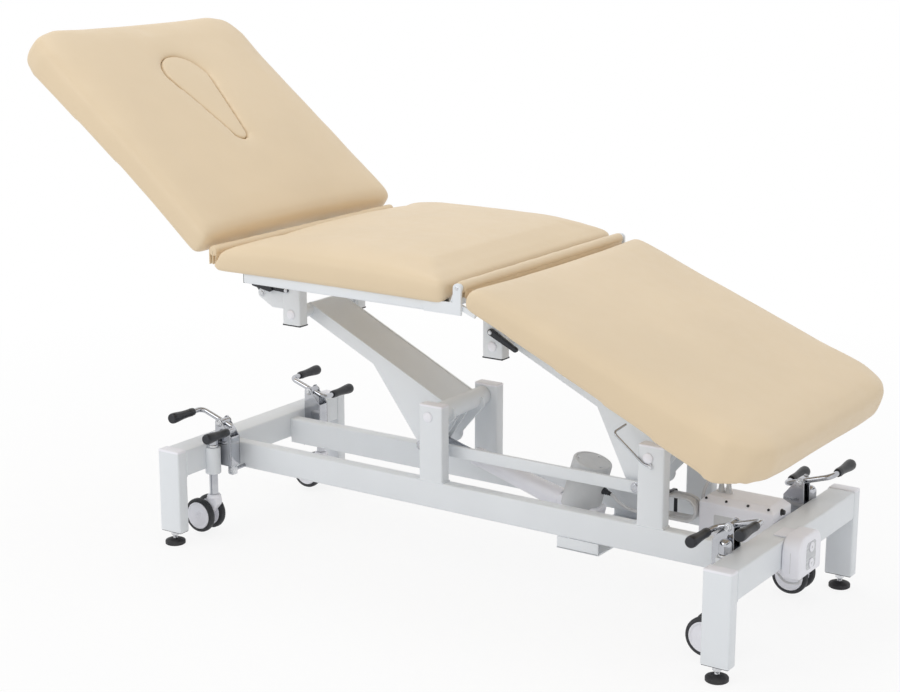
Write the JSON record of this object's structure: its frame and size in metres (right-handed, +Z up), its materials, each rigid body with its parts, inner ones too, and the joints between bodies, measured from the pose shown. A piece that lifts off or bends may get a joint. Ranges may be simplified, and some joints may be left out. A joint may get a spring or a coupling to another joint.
{
  "type": "electric examination couch",
  "caption": "Electric examination couch: padded back, seat and leg sections that tilt, on a parallelogram lift with actuator, wheeled base with pedals and hand control.",
  "frame": {"origin": "middle of the bounding box, on the floor plane under the levelling feet", "axes": "+X towards the foot end, +Y across the couch towards the side with the control box, +Z up"},
  "size_m": [1.8492, 0.6888, 1.1441],
  "materials": {
    "white_coat": "satin powder coat",
    "cream_vinyl": "soft satin vinyl",
    "chrome": "polished",
    "black_rubber": "matt",
    "black_plastic": "satin",
    "black_paint": "satin",
    "white_plastic": "satin",
    "tyre": "matt",
    "grey_cable": "satin"
  },
  "bodies": {
    "base": {"head_end_frame": "white_coat", "foot_end_frame": "white_coat", "near_side_frame": "white_coat", "far_side_frame": "white_coat", "actuator_mount": "white_coat", "control_box": "white_plastic", "hand_control": "white_plastic", "wire_hook": "chrome", "motor_cable": "grey_cable", "hand_control_cable": "grey_cable"},
    "head_arm": {"head_lift_arm": "white_coat"},
    "foot_arm": {"foot_lift_arm": "white_coat"},
    "tie": {"tie_bar": "white_coat"},
    "actuator": {"actuator_body": "white_plastic"},
    "push_rod": {"actuator_rod": "chrome"},
    "top": {"seat_frame": "white_coat", "seat_cushion": "cream_vinyl", "hinge_roll": "cream_vinyl", "back_hinge_roll": "cream_vinyl"},
    "back": {"back_frame": "white_coat", "back_cushion": "cream_vinyl"},
    "plug": {"face_plug": "cream_vinyl"},
    "leg": {"leg_frame": "white_coat", "leg_cushion": "cream_vinyl"},
    "back_cylinder": {"back_spring_cylinder": "black_paint"},
    "back_rod": {"back_spring_rod": "chrome"},
    "leg_cylinder": {"leg_spring_cylinder": "black_paint"},
    "leg_rod": {"leg_spring_rod": "chrome"},
    "back_lever": {"back_release_lever": "black_plastic"},
    "leg_lever": {"leg_release_lever": "black_plastic"},
    "pedal_nh": {"pedal_near_head": "chrome", "pedal_grip_outer_near_head": "black_plastic", "pedal_grip_inner_near_head": "black_plastic"},
    "pedal_fh": {"pedal_far_head": "chrome", "pedal_grip_outer_far_head": "black_plastic", "pedal_grip_inner_far_head": "black_plastic"},
    "pedal_nf": {"pedal_near_foot": "chrome", "pedal_grip_outer_near_foot": "black_plastic", "pedal_grip_inner_near_foot": "black_plastic"},
    "pedal_ff": {"pedal_far_foot": "chrome", "pedal_grip_outer_far_foot": "black_plastic", "pedal_grip_inner_far_foot": "black_plastic"},
    "stem_nh": {"castor_stem_near_head": "chrome"},
    "stem_fh": {"castor_stem_far_head": "chrome"},
    "stem_nf": {"castor_stem_near_foot": "chrome"},
    "stem_ff": {"castor_stem_far_foot": "chrome"},
    "fork_nh": {"castor_fork_near_head": "white_plastic"},
    "fork_fh": {"castor_fork_far_head": "white_plastic"},
    "fork_nf": {"castor_fork_near_foot": "white_plastic"},
    "fork_ff": {"castor_fork_far_foot": "white_plastic"},
    "wheels_nh": {"castor_wheels_near_head": "tyre"},
    "wheels_fh": {"castor_wheels_far_head": "tyre"},
    "wheels_nf": {"castor_wheels_near_foot": "tyre"},
    "wheels_ff": {"castor_wheels_far_foot": "tyre"},
    "leveller_nh": {"levelling_foot_near_head": "black_rubber"},
    "leveller_fh": {"levelling_foot_far_head": "black_rubber"},
    "leveller_nf": {"levelling_foot_near_foot": "black_rubber"},
    "leveller_ff": {"levelling_foot_far_foot": "black_rubber"},
    "up": {"button_up": "white_plastic"},
    "down": {"button_down": "white_plastic"}
  },
  "joints": [
    {"name": "lift", "type": "hinge", "parent": "base", "child": "head_arm", "pos_m": [0.049, 0, 0.352], "axis": [0, 1, 0], "range_deg": [-10, 34]},
    {"name": "foot_arm_turn", "type": "hinge", "parent": "base", "child": "foot_arm", "pos_m": [0.582, 0, 0.352], "axis": [0, 1, 0], "range_deg": [-10.1, 34.1]},
    {"name": "top_level", "type": "hinge", "parent": "head_arm", "child": "top", "pos_m": [-0.321, 0, 0.53], "axis": [0, 1, 0], "range_deg": [-34.1, 10.1]},
    {"name": "tie_level", "type": "hinge", "parent": "head_arm", "child": "tie", "pos_m": [-0.003, 0, 0.268], "axis": [0, 1, 0], "range_deg": [-34.1, 10.1]},
    {"name": "actuator_tilt", "type": "hinge", "parent": "base", "child": "actuator", "pos_m": [0.423, 0, 0.15], "axis": [0, 1, 0], "range_deg": [-1.1, 3.5], "deforming": ["motor_cable"]},
    {"name": "actuator_stroke", "type": "slide", "parent": "actuator", "child": "push_rod", "axis": [-0.9637, 0, 0.2669], "range_m": [-0.0155, 0.052]},
    {"name": "back_tilt", "type": "hinge", "parent": "top", "child": "back", "pos_m": [-0.37, 0, 0.694], "axis": [0, 1, 0], "range_deg": [-39, 21]},
    {"name": "plug_lift", "type": "slide", "parent": "back", "child": "plug", "axis": [0.6293, 0, 0.7771], "range_m": [0, 0.065]},
    {"name": "leg_tilt", "type": "hinge", "parent": "top", "child": "leg", "pos_m": [0.262, 0, 0.696], "axis": [0, 1, 0], "range_deg": [-21, 0]},
    {"name": "back_spring_turn", "type": "hinge", "parent": "top", "child": "back_cylinder", "pos_m": [-0.404, -0.109, 0.569], "axis": [0, 1, 0], "range_deg": [-32.9, 17.8]},
    {"name": "back_spring_stroke", "type": "slide", "parent": "back_cylinder", "child": "back_rod", "axis": [-0.6738, 0, 0.739], "range_m": [-0.0805, 0.0436]},
    {"name": "leg_spring_turn", "type": "hinge", "parent": "top", "child": "leg_cylinder", "pos_m": [0.128, 0, 0.6], "axis": [0, 1, 0], "range_deg": [-14.4, 0.1]},
    {"name": "leg_spring_stroke", "type": "slide", "parent": "leg_cylinder", "child": "leg_rod", "axis": [0.9851, 0, -0.1721], "range_m": [-0.0005, 0.039]},
    {"name": "back_release", "type": "hinge", "parent": "top", "child": "back_lever", "pos_m": [-0.331, -0.1238, 0.584], "axis": [0, 1, 0], "range_deg": [0, 14], "stiffness_Nm_per_rad": 0.5},
    {"name": "leg_release", "type": "hinge", "parent": "top", "child": "leg_lever", "pos_m": [0.212, -0.1238, 0.562], "axis": [0, -1, 0], "range_deg": [0, 15], "stiffness_Nm_per_rad": 0.5},
    {"name": "pedal_turn_nh", "type": "hinge", "parent": "base", "child": "pedal_nh", "pos_m": [-0.492, -0.165, 0.264], "axis": [0, -1, 0], "range_deg": [0, 30]},
    {"name": "pedal_turn_fh", "type": "hinge", "parent": "base", "child": "pedal_fh", "pos_m": [-0.492, 0.165, 0.264], "axis": [0, -1, 0], "range_deg": [0, 30]},
    {"name": "pedal_turn_nf", "type": "hinge", "parent": "base", "child": "pedal_nf", "pos_m": [0.788, -0.165, 0.264], "axis": [0, 1, 0], "range_deg": [0, 30]},
    {"name": "pedal_turn_ff", "type": "hinge", "parent": "base", "child": "pedal_ff", "pos_m": [0.788, 0.165, 0.264], "axis": [0, 1, 0], "range_deg": [0, 30]},
    {"name": "stem_slide_nh", "type": "slide", "parent": "base", "child": "stem_nh", "axis": [0, 0, -1], "range_m": [-0.0005, 0.0205]},
    {"name": "stem_slide_fh", "type": "slide", "parent": "base", "child": "stem_fh", "axis": [0, 0, -1], "range_m": [-0.0005, 0.0205]},
    {"name": "stem_slide_nf", "type": "slide", "parent": "base", "child": "stem_nf", "axis": [0, 0, -1], "range_m": [-0.0005, 0.0205]},
    {"name": "stem_slide_ff", "type": "slide", "parent": "base", "child": "stem_ff", "axis": [0, 0, -1], "range_m": [-0.0005, 0.0205]},
    {"name": "swivel_nh", "type": "hinge", "parent": "stem_nh", "child": "fork_nh", "pos_m": [-0.497, -0.2, 0.1], "axis": [0, 0, 1], "continuous": true},
    {"name": "swivel_fh", "type": "hinge", "parent": "stem_fh", "child": "fork_fh", "pos_m": [-0.497, 0.2, 0.1], "axis": [0, 0, 1], "continuous": true},
    {"name": "swivel_nf", "type": "hinge", "parent": "stem_nf", "child": "fork_nf", "pos_m": [0.793, -0.2, 0.1], "axis": [0, 0, 1], "continuous": true},
    {"name": "swivel_ff", "type": "hinge", "parent": "stem_ff", "child": "fork_ff", "pos_m": [0.793, 0.2, 0.1], "axis": [0, 0, 1], "continuous": true},
    {"name": "roll_nh", "type": "hinge", "parent": "fork_nh", "child": "wheels_nh", "pos_m": [-0.525, -0.2, 0.048], "axis": [0, 1, 0], "continuous": true},
    {"name": "roll_fh", "type": "hinge", "parent": "fork_fh", "child": "wheels_fh", "pos_m": [-0.525, 0.2, 0.048], "axis": [0, 1, 0], "continuous": true},
    {"name": "roll_nf", "type": "hinge", "parent": "fork_nf", "child": "wheels_nf", "pos_m": [0.765, -0.2, 0.048], "axis": [0, 1, 0], "continuous": true},
    {"name": "roll_ff", "type": "hinge", "parent": "fork_ff", "child": "wheels_ff", "pos_m": [0.765, 0.2, 0.048], "axis": [0, 1, 0], "continuous": true},
    {"name": "level_nh", "type": "hinge", "parent": "base", "child": "leveller_nh", "pos_m": [-0.534, -0.295, 0], "axis": [0, 0, 1], "continuous": true},
    {"name": "level_fh", "type": "hinge", "parent": "base", "child": "leveller_fh", "pos_m": [-0.534, 0.295, 0], "axis": [0, 0, 1], "continuous": true},
    {"name": "level_nf", "type": "hinge", "parent": "base", "child": "leveller_nf", "pos_m": [0.83, -0.295, 0], "axis": [0, 0, 1], "continuous": true},
    {"name": "level_ff", "type": "hinge", "parent": "base", "child": "leveller_ff", "pos_m": [0.83, 0.295, 0], "axis": [0, 0, 1], "continuous": true},
    {"name": "press_up", "type": "slide", "parent": "base", "child": "up", "axis": [-1, 0, 0], "range_m": [0, 0.002], "stiffness_N_per_m": 400},
    {"name": "press_down", "type": "slide", "parent": "base", "child": "down", "axis": [-1, 0, 0], "range_m": [0, 0.002], "stiffness_N_per_m": 400}
  ],
  "couplings": [
    {"joint": "foot_arm_turn", "follows": "lift", "ratio": 1},
    {"joint": "top_level", "follows": "lift", "ratio": -1},
    {"joint": "tie_level", "follows": "lift", "ratio": -1},
    {"joint": "actuator_tilt", "follows": "lift", "ratio": 0.097},
    {"joint": "actuator_stroke", "follows": "lift", "m_per_rad": 0.0871},
    {"joint": "back_spring_turn", "follows": "back_tilt", "ratio": 0.8375},
    {"joint": "back_spring_stroke", "follows": "back_tilt", "m_per_rad": 0.1175},
    {"joint": "leg_spring_turn", "follows": "leg_tilt", "ratio": 0.678},
    {"joint": "leg_spring_stroke", "follows": "leg_tilt", "m_per_rad": -0.1049},
    {"joint": "stem_slide_nh", "follows": "pedal_turn_nh", "m_per_rad": 0.0382},
    {"joint": "stem_slide_fh", "follows": "pedal_turn_fh", "m_per_rad": 0.0382},
    {"joint": "stem_slide_nf", "follows": "pedal_turn_nf", "m_per_rad": 0.0382},
    {"joint": "stem_slide_ff", "follows": "pedal_turn_ff", "m_per_rad": 0.0382}
  ]
}
